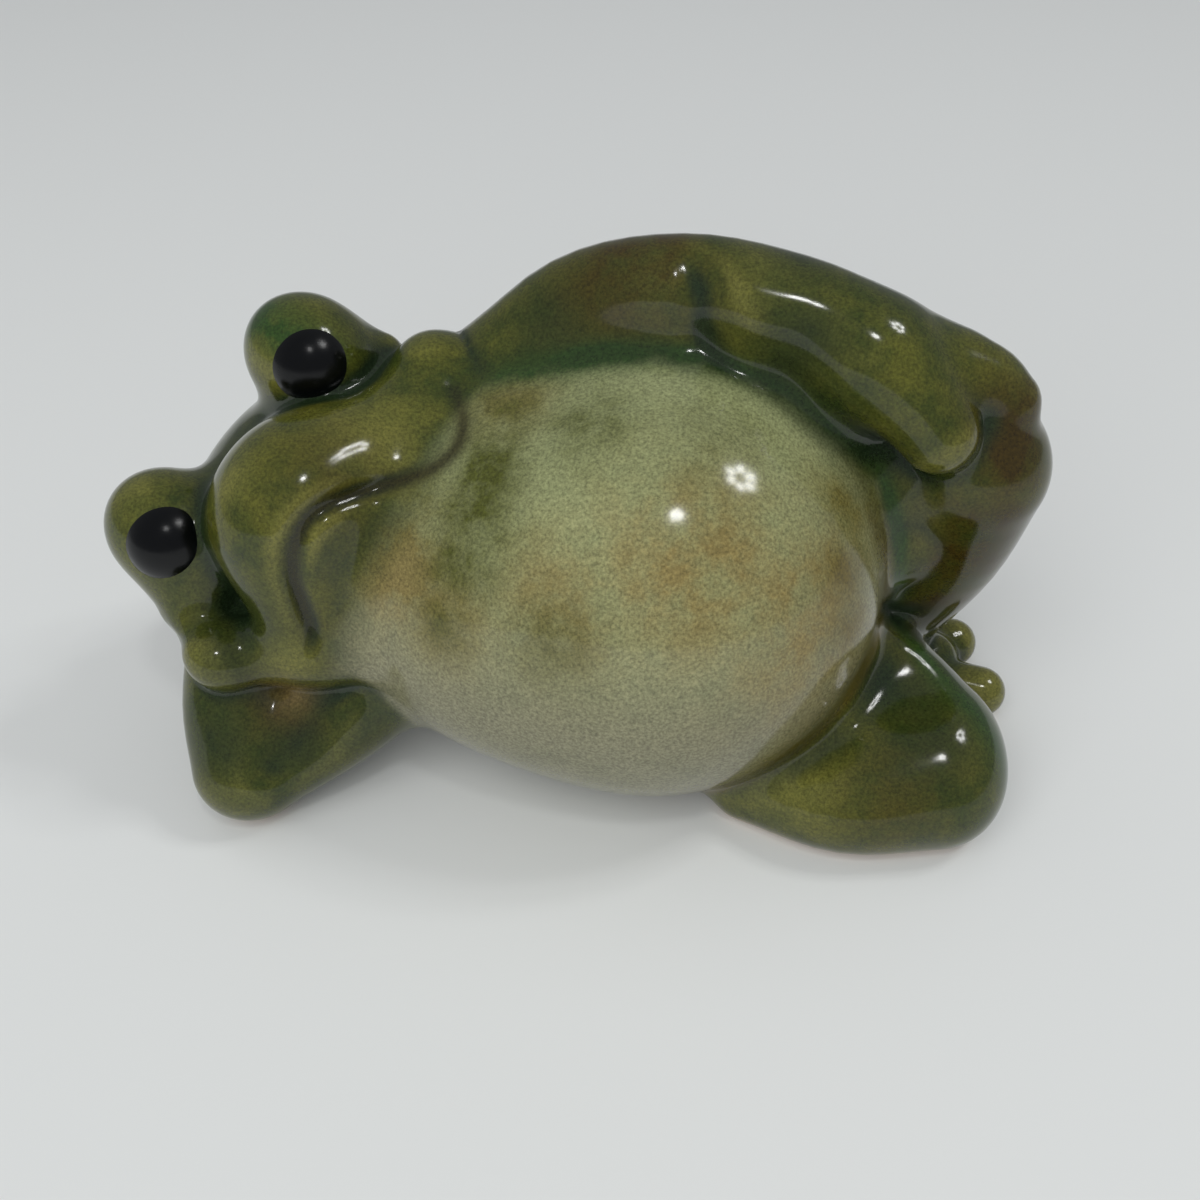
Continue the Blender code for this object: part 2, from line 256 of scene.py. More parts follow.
@dataclass(frozen=True)
class Torso:
    """Belly, chest, back and neck, cast hollow."""

    belly: Egg = Egg((0.0, 0.0, 36.0), (39.0, 36.0, 38.0))
    chest: Egg = Egg((-21.0, 1.0, 34.0), (34.0, 28.0, 29.0))
    back: Egg = Egg((7.0, 21.0, 43.0), (48.0, 27.0, 37.0))
    neck: Limb = Limb(((-25.0, 15.0, 42.0, 25.5), (-49.0, 15.0, 41.5, 19.0)))

    def front(self, points: np.ndarray) -> np.ndarray:
        """Return the distance to the belly and the chest."""
        return fuse(self.belly.distance(points), self.chest.distance(points), 10.0)

    def distance(self, points: np.ndarray) -> np.ndarray:
        """Return the distance to the torso."""
        trunk = fuse(self.front(points), self.back.distance(points), 10.0)
        return fuse(trunk, self.neck.distance(points), 12.0)


@dataclass(frozen=True)
class Head:
    """Skull, eye mounds, snout, cheeks and chin. The frog's left side is the upper one."""

    mounds: tuple[tuple[Triple, Triple], ...] = (
        ((19.6, 0.4, -1.5), (26.5, -8.5, -6.0)),
        ((-17.8, -0.3, -1.5), (-25.5, -8.0, -5.5)),
    )
    mouth_width: float = 1.6
    mouth_depth: float = 1.5

    def egg(self, place: Triple, halves: Triple) -> Egg:
        """Return an egg that stands along the head's axes."""
        return Egg(HEAD.at(*place), halves, HEAD.turn())

    def roll(self, *knots: Knot) -> Limb:
        """Return a roll of clay along knots given along the head's axes."""
        return Limb(tuple(HEAD.knot(*knot) for knot in knots), 4)

    def skull(self, points: np.ndarray) -> np.ndarray:
        """Return the distance to the skull with both eye mounds."""
        skull = self.egg((0.0, -15.0, -15.0), (27.5, 19.0, 22.0)).distance(points)
        for top, foot in self.mounds:
            mound = self.egg(top, (9.8, 11.0, 10.5)).distance(points)
            flank = self.roll((*top[:2], -4.0, 8.5), (*foot, 5.0)).distance(points)
            skull = fuse(skull, fuse(mound, flank, 4.0), 6.0)
        temple = self.roll((-18.0, -5.0, -1.0, 8.0), (-25.5, -11.5, 0.0, 5.0)).distance(points)
        return fuse(skull, temple, 4.0)

    def snout(self, points: np.ndarray) -> np.ndarray:
        """Return the distance to the snout: an arch of two lips that ends in the cheeks."""
        nose = self.egg((0.0, -13.5, 5.0), (15.0, 12.3, 16.5)).distance(points)
        left = self.roll((3.0, -14.5, 8.5, 11.5), (16.0, -19.0, 5.5, 10.0), (26.0, -20.0, 2.5, 8.5))
        right = self.roll((-3.0, -14.5, 8.5, 11.5), (-11.5, -21.5, 8.0, 8.0), (-18.0, -27.5, 6.0, 5.5))
        lips = fuse(left.distance(points), right.distance(points), 4.0)
        snout = fuse(nose, lips, 7.0)
        upper_cheek = self.egg((31.0, -17.5, 2.5), (7.0, 7.2, 8.0)).distance(points)
        return fuse(snout, upper_cheek, 4.0)

    def jaw(self, points: np.ndarray) -> np.ndarray:
        """Return the distance to the lower cheek and the jaw that overhangs the arm."""
        cheek = self.egg((-29.0, -19.6, 4.2), (5.2, 6.2, 6.5)).distance(points)
        edge = self.roll((-27.0, -20.5, 3.0, 5.2), (-21.0, -27.5, 4.5, 6.0), (-11.0, -35.0, 4.0, 8.0))
        return fuse(cheek, edge.distance(points), 3.0)

    def chin(self, points: np.ndarray) -> np.ndarray:
        """Return the distance to the chin."""
        return self.egg((0.0, -32.0, -2.0), (24.0, 14.0, 16.0)).distance(points)

    def mouth_route(self) -> np.ndarray:
        """Return the mouth line across the face, from the right cheek to the left."""
        line = [(-18.2, -30.5, 0.2), (-14.5, -27.8, 0.8), (-11.5, -23.8, 1.0), (-8.6, -20.3, 1.0),
                (-4.8, -17.6, 1.0), (0.0, -16.4, 1.0), (5.0, -18.0, 1.0), (11.0, -22.0, 1.0),
                (17.0, -25.8, 1.0), (22.5, -27.0, 1.0), (27.0, -25.4, 1.0), (30.0, -21.5, 0.7)]
        return smooth_route(line, 4)

    def mouth(self, points: np.ndarray) -> np.ndarray:
        """Return how deep the mouth line is pressed into the face."""
        local = HEAD.inside(points)
        pressed = crease(local[:2], self.mouth_route(), self.mouth_width, self.mouth_depth)
        return np.where(local[2] > 0.0, pressed, 0.0)

    def distance(self, points: np.ndarray) -> np.ndarray:
        """Return the distance to the head."""
        face = fuse(self.skull(points), self.snout(points), 3.0)
        face = fuse(face, self.jaw(points), 4.0)
        return fuse(face, self.chin(points), 6.0) + self.mouth(points)


@dataclass(frozen=True)
class ProppingArm:
    """The right arm: elbow on the table, hand at the cheek."""

    upper: Limb = Limb(((-39.0, -3.0, 26.0, 10.0), (-54.0, -11.5, 17.0, 10.0), (-69.0, -18.0, 9.0, 9.0)))
    fore: Limb = Limb(((-71.0, -18.5, 9.0, 9.0), (-72.0, -11.5, 18.0, 9.5), (-72.0, -2.5, 28.0, 8.5)))
    palm: Limb = Limb(((-71.0, -2.5, 27.0, 8.5), (-56.0, -3.0, 27.0, 9.5)))
    finger: Limb = Limb(((-76.0, -4.0, 30.0, 6.0), (-80.0, -5.5, 34.5, 3.4)))
    fold: Limb = Limb(((-55.5, -18.5, 26.5, 2.4), (-59.3, -22.3, 21.4, 3.2), (-63.0, -25.5, 16.5, 1.8)))

    def distance(self, points: np.ndarray) -> np.ndarray:
        """Return the distance to the arm."""
        arm = fuse(self.upper.distance(points), self.fore.distance(points), 2.5)
        arm = fuse(arm, self.palm.distance(points), 2.0)
        arm = carve(arm, self.fold.distance(points), 6.0)
        return fuse(arm, self.finger.distance(points), 3.0)


@dataclass(frozen=True)
class DrapedArm:
    """The left arm along the top of the body, creased at the elbow, with the hand over the knee.

    Attributes:
        crease_place: Where the crease meets y = 0, as an x.
        crease_lean: How far the crease moves towards -x for each millimetre of y.
        crease_width: Half-width of the crease.
        crease_depth: Depth of the crease.
        crease_ends: The y at which the crease starts, and the y from which it is full.
    """

    arm: Limb = Limb(((-29.0, 21.0, 63.0, 8.0), (-13.0, 20.6, 76.8, 8.5), (4.0, 15.6, 82.8, 8.5),
                      (21.0, 12.5, 81.2, 8.2), (35.0, 9.8, 76.5, 7.8), (46.0, 9.5, 72.0, 7.0)))
    fore: Limb = Limb(((12.0, 9.5, 82.5, 5.5), (24.0, 8.0, 80.5, 6.3), (34.0, 6.0, 76.5, 6.8)))
    crease_place: float = 11.5
    crease_lean: float = 0.6
    crease_width: float = 3.0
    crease_depth: float = 1.5
    crease_ends: tuple[float, float] = (14.0, 8.0)
    first_finger: Limb = Limb(((33.0, 4.0, 75.5, 7.0), (39.0, 0.8, 71.5, 6.6), (44.0, -1.5, 66.5, 6.2)))
    second_finger: Limb = Limb(((43.0, 7.5, 73.5, 6.2), (51.0, 7.0, 71.0, 6.6), (55.5, 5.5, 68.0, 5.8)))

    def distance(self, points: np.ndarray) -> np.ndarray:
        """Return the distance to the arm."""
        arm = fuse(self.arm.distance(points), self.fore.distance(points), 5.0)
        first, second = self.first_finger.distance(points), self.second_finger.distance(points)
        arm = fuse(fuse(arm, first, 8.0), second, 2.5)
        front = fade(points[1], *self.crease_ends)
        across = points[0] + self.crease_lean * points[1] - self.crease_place
        return arm + self.crease_depth * front * np.exp(-((across / self.crease_width) ** 2))


@dataclass(frozen=True)
class RaisedLeg:
    """The left thigh and shin, with the knee up and two folds of flesh at its inner side."""

    thigh: Limb = Limb(((29.0, 21.0, 34.0, 20.0), (45.0, 13.0, 52.0, 14.0), (52.0, 7.0, 57.0, 12.0)))
    shin: Limb = Limb(((53.5, 6.0, 55.0, 12.0), (51.0, 10.0, 38.0, 12.0), (46.5, 15.0, 20.0, 10.5),
                       (44.5, 17.0, 9.0, 8.5)))
    folds: tuple[Egg, Egg] = (
        Egg((44.5, 2.0, 43.0), (5.5, 5.0, 5.5)),
        Egg((45.0, 4.0, 53.5), (5.5, 5.0, 5.0)),
    )

    def distance(self, points: np.ndarray) -> np.ndarray:
        """Return the distance to the leg."""
        leg = fuse(self.thigh.distance(points), self.shin.distance(points), 3.0)
        folds = np.minimum(self.folds[0].distance(points), self.folds[1].distance(points))
        return fuse(leg, folds, 2.0)


@dataclass(frozen=True)
class RaisedFoot:
    """The left foot, with two toes."""

    sole: Limb = Limb(((45.0, 17.0, 7.0, 7.0), (55.0, 13.0, 5.0, 6.0)))
    toes: tuple[Limb, Limb] = (
        Limb(((53.0, 19.0, 5.0, 5.0), (61.0, 19.0, 4.5, 4.8))),
        Limb(((53.0, 8.0, 5.0, 5.0), (63.5, 5.0, 4.5, 4.8))),
    )

    def distance(self, points: np.ndarray) -> np.ndarray:
        """Return the distance to the foot."""
        toes = np.minimum(self.toes[0].distance(points), self.toes[1].distance(points))
        return fuse(self.sole.distance(points), toes, 2.0)


@dataclass(frozen=True)
class FoldedLeg:
    """The right thigh and shin, folded on the table, with a soft dent between them."""

    thigh: Limb = Limb(((25.0, 1.0, 16.0, 15.0), (38.0, -7.5, 15.5, 14.0), (47.5, -14.5, 11.5, 12.5)))
    shin: Limb = Limb(((48.5, -23.0, 9.5, 11.0), (33.0, -24.5, 8.2, 9.8), (17.0, -19.0, 5.0, 6.4)))
    dent: Egg = Egg((40.5, -17.5, 29.5), (9.0, 7.0, 6.0))

    def distance(self, points: np.ndarray) -> np.ndarray:
        """Return the distance to the leg."""
        leg = fuse(self.thigh.distance(points), self.shin.distance(points), 9.0)
        return carve(leg, self.dent.distance(points), 6.0)


class Casting(Enum):
    """The castings, named as the nodes they cover."""

    TORSO = "torso"
    HEAD = "head"
    PROPPING_ARM = "propping_arm"
    DRAPED_ARM = "draped_arm"
    RAISED_LEG = "raised_leg"
    RAISED_FOOT = "raised_foot"
    FOLDED_LEG = "folded_leg"


@dataclass(frozen=True)
class Figure:
    """The whole fired form: every casting, luted with fillets and ground flat at the feet.

    Attributes:
        foot_edge: Rounding of the ground feet's edge.
        luting: Pairs of castings that meet, each with the fillet of its luted joint.
    """

    torso: Torso = Torso()
    head: Head = Head()
    propping_arm: ProppingArm = ProppingArm()
    draped_arm: DrapedArm = DrapedArm()
    raised_leg: RaisedLeg = RaisedLeg()
    raised_foot: RaisedFoot = RaisedFoot()
    folded_leg: FoldedLeg = FoldedLeg()
    foot_edge: float = 1.2
    luting: tuple[tuple[str, str, float], ...] = (
        ("torso", "head", 6.0), ("torso", "propping_arm", 5.0), ("head", "propping_arm", 1.2),
        ("torso", "draped_arm", 6.0), ("torso", "raised_leg", 8.0), ("draped_arm", "raised_leg", 3.0),
        ("head", "draped_arm", 3.0), ("raised_leg", "raised_foot", 3.0), ("torso", "folded_leg", 6.0),
        ("raised_leg", "folded_leg", 7.0), ("folded_leg", "raised_foot", 2.0))

    def parts(self, points: np.ndarray) -> np.ndarray:
        """Return the distance to each casting, one row each, in the order of Casting."""
        return np.stack([getattr(self, casting.value).distance(points) for casting in Casting])

    def distance(self, points: np.ndarray) -> np.ndarray:
        """Return the distance to the whole form."""
        rows = {casting.value: row for casting, row in zip(Casting, self.parts(points))}
        whole = np.min([fuse(rows[one], rows[other], seam) for one, other, seam in self.luting], 0)
        return -fuse(-whole, points[2], self.foot_edge)

    def owner(self, points: np.ndarray) -> np.ndarray:
        """Return which casting each point belongs to."""
        return self.parts(points).argmin(0)


# ---------------------------------------------------------------- form: from distance to mesh


@dataclass
class Skin:
    """The glazed surface: points, four-sided faces, and what the glaze needs to know.

    Attributes:
        points: Places in millimetres, one row each.
        quads: Four point numbers a row.
        normals: The form's outward direction at each point.
        owners: The number of the casting that each face belongs to.
        bend: Curvature over a few millimetres, positive on ridges.
        fine_bend: Curvature over about a millimetre.
    """

    points: np.ndarray
    quads: np.ndarray
    normals: np.ndarray
    owners: np.ndarray
    bend: np.ndarray
    fine_bend: np.ndarray


@dataclass(frozen=True)
class Sculptor:
    """Turns a figure's distance field into a mesh.

    Attributes:
        figure: The form to mesh.
        step: Mesh size in millimetres.
        low: Lowest corner of the space that holds the figure.
        high: Highest corner.
        block: How many steps a rough cell is wide.
        reach: Distance over which the surface's direction is measured.
        fine_reach: Distance over which the fine curvature is measured.
        wide_reach: Distance over which the wide curvature is measured.
    """

    figure: Figure
    step: float = 0.8
    low: Triple = (-96.0, -40.0, -3.0)
    high: Triple = (74.0, 52.0, 98.0)
    block: int = 4
    reach: float = 0.2
    fine_reach: float = 0.9
    wide_reach: float = 3.0

    def gradient(self, points: np.ndarray, reach: float) -> tuple[np.ndarray, np.ndarray]:
        """Measure the field around points.

        Args:
            points: Places in millimetres, as columns.
            reach: Distance to the six neighbours that are looked at.

        Returns:
            The field's gradient as columns, and its curvature.
        """
        slopes = np.zeros_like(points)
        bend = -6.0 * self.figure.distance(points)
        for axis in range(3):
            shift = column(np.eye(3)[axis] * reach)
            ahead = self.figure.distance(points + shift)
            behind = self.figure.distance(points - shift)
            slopes[axis] = (ahead - behind) / (2.0 * reach)
            bend += ahead + behind
        return slopes, bend / reach**2

    def lattice(self) -> tuple[np.ndarray, tuple[int, int, int]]:
        """Measure the field on a lattice, exactly near the surface and roughly elsewhere.

        Returns:
            The field, and the lattice's number of points along each axis.
        """
        low, high = np.asarray(self.low), np.asarray(self.high)
        coarse_step = self.step * self.block
        coarse_shape = tuple(int(n) for n in np.ceil((high - low) / coarse_step))
        grids = np.meshgrid(*[np.arange(n) for n in coarse_shape], indexing="ij")
        cells = np.stack([grid.ravel() for grid in grids], 1)
        rough = self.field(low + (cells + 0.5) * coarse_step)
        shape = tuple(n * self.block for n in coarse_shape)
        field = rough.reshape(coarse_shape)
        for axis in range(3):
            field = field.repeat(self.block, axis)
        near = cells[np.abs(rough) < 1.5 * coarse_step]
        inner = np.stack(np.meshgrid(*[np.arange(self.block)] * 3, indexing="ij"), -1).reshape(-1, 3)
        nodes = (near[:, None, :] * self.block + inner[None]).reshape(-1, 3)
        for part in np.array_split(nodes, max(1, len(nodes) // 200000)):
            field[tuple(part.T)] = self.field(low + part * self.step)
        return field, shape

    def field(self, places: np.ndarray) -> np.ndarray:
        """Return the distance at places that are stored as rows."""
        return self.figure.distance(np.ascontiguousarray(places.T, np.float32))

    def mesh(self) -> tuple[np.ndarray, np.ndarray]:
        """Draw the surface through the lattice, with one point in each cell that it crosses.

        Returns:
            The points, one row each, and the four-sided faces.
        """
        field, shape = self.lattice()
        inside = field < 0.0
        corners = np.stack(np.meshgrid(*[[0, 1]] * 3, indexing="ij"), -1).reshape(-1, 3)
        counted = np.zeros(tuple(n - 1 for n in shape), np.int8)
        for dx, dy, dz in corners:
            counted += inside[dx:shape[0] - 1 + dx, dy:shape[1] - 1 + dy, dz:shape[2] - 1 + dz]
        cells = np.argwhere((counted > 0) & (counted < 8))
        values = np.stack([field[tuple((cells + corner).T)] for corner in corners], 1)
        total = np.zeros((len(cells), 3))
        crossings = np.zeros(len(cells))
        for first in range(8):
            for axis in range(3):
                if corners[first][axis]:
                    continue
                second = first + (4, 2, 1)[axis]
                start, end = values[:, first], values[:, second]
                crosses = (start < 0.0) != (end < 0.0)
                share = start / np.where(crosses, start - end, 1.0)
                place = corners[first] + np.eye(3)[axis] * share[:, None]
                total += np.where(crosses[:, None], place, 0.0)
                crossings += crosses
        points = np.asarray(self.low) + (cells + total / crossings[:, None]) * self.step
        index = np.full(counted.shape, -1, np.int64)
        index[tuple(cells.T)] = np.arange(len(cells))
        quads = []
        for axis in range(3):
            ahead = np.roll(inside, -1, axis)
            edges = np.argwhere(inside != ahead)
            edges = edges[(edges > 0).all(1) & (edges < np.asarray(shape) - 2).all(1)]
            one, two = np.eye(3, dtype=int)[[(axis + 1) % 3, (axis + 2) % 3]]
            ring = [index[tuple((edges - shift).T)] for shift in (one * 0, one, one + two, two)]
            quad = np.stack(ring, 1)
            outward = inside[tuple(edges.T)]
            quads.append(np.where(outward[:, None], quad, quad[:, ::-1]))
        return points, np.vstack(quads)

    def skin(self) -> Skin:
        """Return the finished surface, with every point drawn onto the form."""
        rows, quads = self.mesh()
        points = np.ascontiguousarray(rows.T, np.float32)
        for _ in range(2):
            slopes, _bend = self.gradient(points, self.reach)
            steep = np.maximum((slopes * slopes).sum(0), 0.05)
            points = points - slopes * (self.figure.distance(points) / steep)
        slopes, fine_bend = self.gradient(points, self.fine_reach)
        _slopes, bend = self.gradient(points, self.wide_reach)
        normals = slopes / np.maximum(length(slopes), 1e-6)
        owners = self.figure.owner(points[:, quads].mean(2))
        return Skin(points.T.astype(float), quads, normals.T.astype(float), owners, bend, fine_bend)


# ---------------------------------------------------------------- glaze films


def fade(values: np.ndarray, start: float, end: float) -> np.ndarray:
    """Return a smooth change from 0 at start to 1 at end."""
    share = np.clip((values - start) / (end - start), 0.0, 1.0)
    return share * share * (3.0 - 2.0 * share)


def clouds(points: np.ndarray, spots: Sequence[Spot]) -> np.ndarray:
    """Return soft spots of colour.

    Args:
        points: Places on the surface in millimetres, as columns.
        spots: Each spot's middle, its radius and its strength.

    Returns:
        One strength per point.
    """
    total = np.zeros(points.shape[1], np.float32)
    for x, y, z, radius, strength in spots:
        gap = points - column((x, y, z))
        total = np.maximum(total, strength * np.exp(-(gap * gap).sum(0) / radius**2))
    return total


@dataclass(frozen=True)
class GlazeFilms:
    """Where each film of the glaze lies, as a number from 0 to about 1 at every point of a skin.

    The spots are where the potter's brush left more, less or other glaze. The deep spots also paint
    shade into creases, the leg's dent and the parts under the head, and the olive spots paint shade on
    the belly beside the legs.
    """

    figure: Figure
    warm_spots: tuple[Spot, ...] = (
        (5.0, -26.5, 61.0, 15.0, 0.9), (22.0, -25.0, 50.0, 16.0, 0.9),
        (-14.0, -27.0, 54.0, 12.0, 0.7), (-40.0, -15.0, 52.0, 11.0, 1.0),
        (-33.0, -22.0, 48.0, 9.0, 0.8), (-24.0, 3.0, 71.0, 7.0, 1.0),
    )
    cloud_spots: tuple[Spot, ...] = (
        (-10.8, -5.7, 72.0, 10.0, 0.6), (-24.6, -0.8, 68.8, 9.0, 0.7),
        (-27.0, -9.0, 65.0, 9.0, 0.85), (-29.5, -15.4, 60.2, 8.5, 1.0),
        (-30.0, -19.4, 56.2, 7.0, 0.9), (-33.0, -23.7, 46.7, 5.5, 0.6),
        (-36.0, -8.0, 60.5, 9.0, 0.6), (-16.4, -30.6, 48.9, 7.0, 0.5),
        (8.0, -10.0, 72.0, 12.0, 0.35),
    )
    # Olive glaze with painted shade, on the belly's side by the raised leg.
    olive_and_shade_spots: tuple[Spot, ...] = (
        (28.9, -10.9, 58.8, 7.0, 0.8), (29.5, -17.7, 52.0, 7.0, 1.0), (30.0, -21.5, 45.5, 6.0, 0.9),
    )
    bare_spots: tuple[Spot, ...] = ((-61.5, -15.5, 25.0, 4.0, 0.7),)
    iron_spots: tuple[Spot, ...] = (
        (-3.0, 13.0, 88.0, 12.0, 0.8), (-62.0, -16.0, 24.0, 6.0, 0.9),
        (56.0, -1.0, 65.0, 10.0, 1.0), (54.0, -3.0, 46.0, 13.0, 1.0), (50.0, 4.0, 30.0, 13.0, 0.8),
        (-50.0, -6.0, 62.0, 9.0, 0.4), (-46.0, -10.0, 34.0, 9.0, 0.8),
        (40.0, -30.0, 14.0, 10.0, 0.4),
    )
    # Partly thicker glaze, partly painted shade in creases, in the leg's dent and under the head.
    deep_and_shade_spots: tuple[Spot, ...] = (
        (45.4, -24.7, 22.1, 8.0, 0.8), (44.0, -17.7, 29.0, 9.0, 1.0),
        (-73.6, -22.0, 19.2, 8.0, 0.8), (-60.3, -19.2, 16.3, 5.0, 1.0),
        (-72.0, 12.0, 58.0, 7.0, 0.8), (-68.0, -14.0, 40.0, 8.0, 0.8), (21.2, 1.8, 81.2, 7.0, 0.8),
        (-18.0, 12.0, 80.0, 7.0, 0.7), (-51.0, -17.0, 18.5, 6.0, 0.7),
        (-70.0, -18.0, 33.0, 6.0, 0.7), (22.0, 13.0, 89.0, 8.0, 0.7), (36.0, 11.0, 84.0, 7.0, 0.7),
        (-60.5, -23.0, 19.0, 7.0, 1.0),
    )
    thin_spots: tuple[Spot, ...] = (
        (21.2, -26.0, 15.0, 9.0, 1.0), (-63.5, 12.6, 73.6, 6.5, 1.3), (-45.1, -1.4, 65.4, 8.0, 1.0),
        (-59.6, -18.3, 33.0, 5.0, 1.0), (43.7, -2.7, 48.8, 4.5, 1.0), (-66.6, -7.7, 62.2, 4.5, 0.9),
        (-84.0, -1.0, 56.0, 3.5, 0.7), (15.2, 9.5, 90.2, 6.0, 0.5), (0.0, 12.0, 85.0, 6.0, 0.5),
    )

    def belly(self, points: np.ndarray) -> tuple[np.ndarray, np.ndarray, np.ndarray]:
        """Work out the belly's films.

        Args:
            points: Places on the surface in millimetres, as columns.

        Returns:
            Where the glaze is pale, where it is olive with painted shade by the legs, and where its
            green edge runs.
        """
        figure = self.figure
        trunk = np.minimum(figure.torso.front(points), figure.head.chin(points))
        limbs = [figure.draped_arm, figure.raised_leg, figure.folded_leg, figure.propping_arm]
        others = np.min([limb.distance(points) for limb in limbs], 0)
        others = np.minimum(others, figure.torso.back.distance(points) + 1.0)
        snout = figure.head.snout(points)
        face = np.minimum(snout, figure.head.skull(points))
        pale = fade(others - trunk, -0.5, 2.5) * (0.25 + 0.75 * fade(snout, 1.0, 11.0))
        pale = pale * fade(face - trunk, -1.0, 3.0)
        raised = figure.raised_leg.distance(points)
        beside = np.minimum(figure.draped_arm.distance(points), figure.torso.back.distance(points) + 1.0)
        beside = np.minimum(beside, raised)
        edge = np.exp(-((beside - trunk + 0.2) / 3.2) ** 2) * fade(snout, 3.0, 8.0)
        legs = np.minimum(raised, figure.folded_leg.distance(points))
        # Partly olive glaze, partly painted shade: the belly darkens next to the legs and at the olive
        # spots.
        olive = np.maximum(1.0 - fade(legs, 3.0, 15.0), clouds(points, self.olive_and_shade_spots))
        return pale, olive, edge

    def mouth(self, points: np.ndarray) -> np.ndarray:
        """Return where the mouth line holds a thick dark film."""
        head = self.figure.head
        return 0.9 * np.clip(head.mouth(points) / head.mouth_depth, 0.0, 1.0) ** 2

    def all(self, skin: Skin) -> dict[str, np.ndarray]:
        """Work out every film.

        Args:
            skin: The glazed surface.

        Returns:
            Each film's strength at every point, by the name of its attribute.
        """
        points = np.ascontiguousarray(skin.points.T, np.float32)
        pale, olive, edge = self.belly(points)
        return {
            "pool": np.maximum(fade(-skin.bend, -0.02, 0.30), 0.8 * fade(-skin.fine_bend, 0.05, 0.8)),
            "ridge": np.maximum(fade(skin.bend, 0.12, 0.36), clouds(points, self.thin_spots)),
            "belly": pale,
            "olive": olive,
            "edge": edge,
            "deep": clouds(points, self.deep_and_shade_spots),
            "warm": clouds(points, self.warm_spots),
            "cloud": clouds(points, self.cloud_spots),
            "iron": clouds(points, self.iron_spots),
            "mouth": self.mouth(points),
            "bare": clouds(points, self.bare_spots),
            # low: painted shade, strongest at the bottom of the form and gone above 62 mm.
            "low": 1.0 - fade(points[2], 30.0, 62.0),
            "clay": 1.0 - fade(points[2], 0.9, 1.9),
        }


# ---------------------------------------------------------------- materials


def linear(code: str) -> tuple[float, float, float, float]:
    """Turn an sRGB hex value into a linear colour."""
    channels = [int(code.lstrip("#")[i:i + 2], 16) / 255.0 for i in (0, 2, 4)]
    curved = [c / 12.92 if c <= 0.04045 else ((c + 0.055) / 1.055) ** 2.4 for c in channels]
    return (*curved, 1.0)


def per_metre(millimetres: float) -> float:
    """Return the texture scale of a pattern whose features are this far apart."""
    return 1.0 / (millimetres * MM)


def add(tree: bpy.types.NodeTree, kind: str, settings: dict | None = None,
        inputs: dict | None = None) -> bpy.types.Node:
    """Add a node.

    Args:
        tree: The tree that gets the node.
        kind: The node's type.
        settings: Properties of the node.
        inputs: Socket name or number, and the value or the output that it takes.

    Returns:
        The new node.
    """
    node = tree.nodes.new(kind)
    for name, value in (settings or {}).items():
        setattr(node, name, value)
    for socket, value in (inputs or {}).items():
        if isinstance(value, bpy.types.NodeSocket):
            tree.links.new(value, node.inputs[socket])
        else:
            node.inputs[socket].default_value = value
    return node


MIX_FACTOR, MIX_A, MIX_B, MIX_RESULT = 0, 6, 7, 2


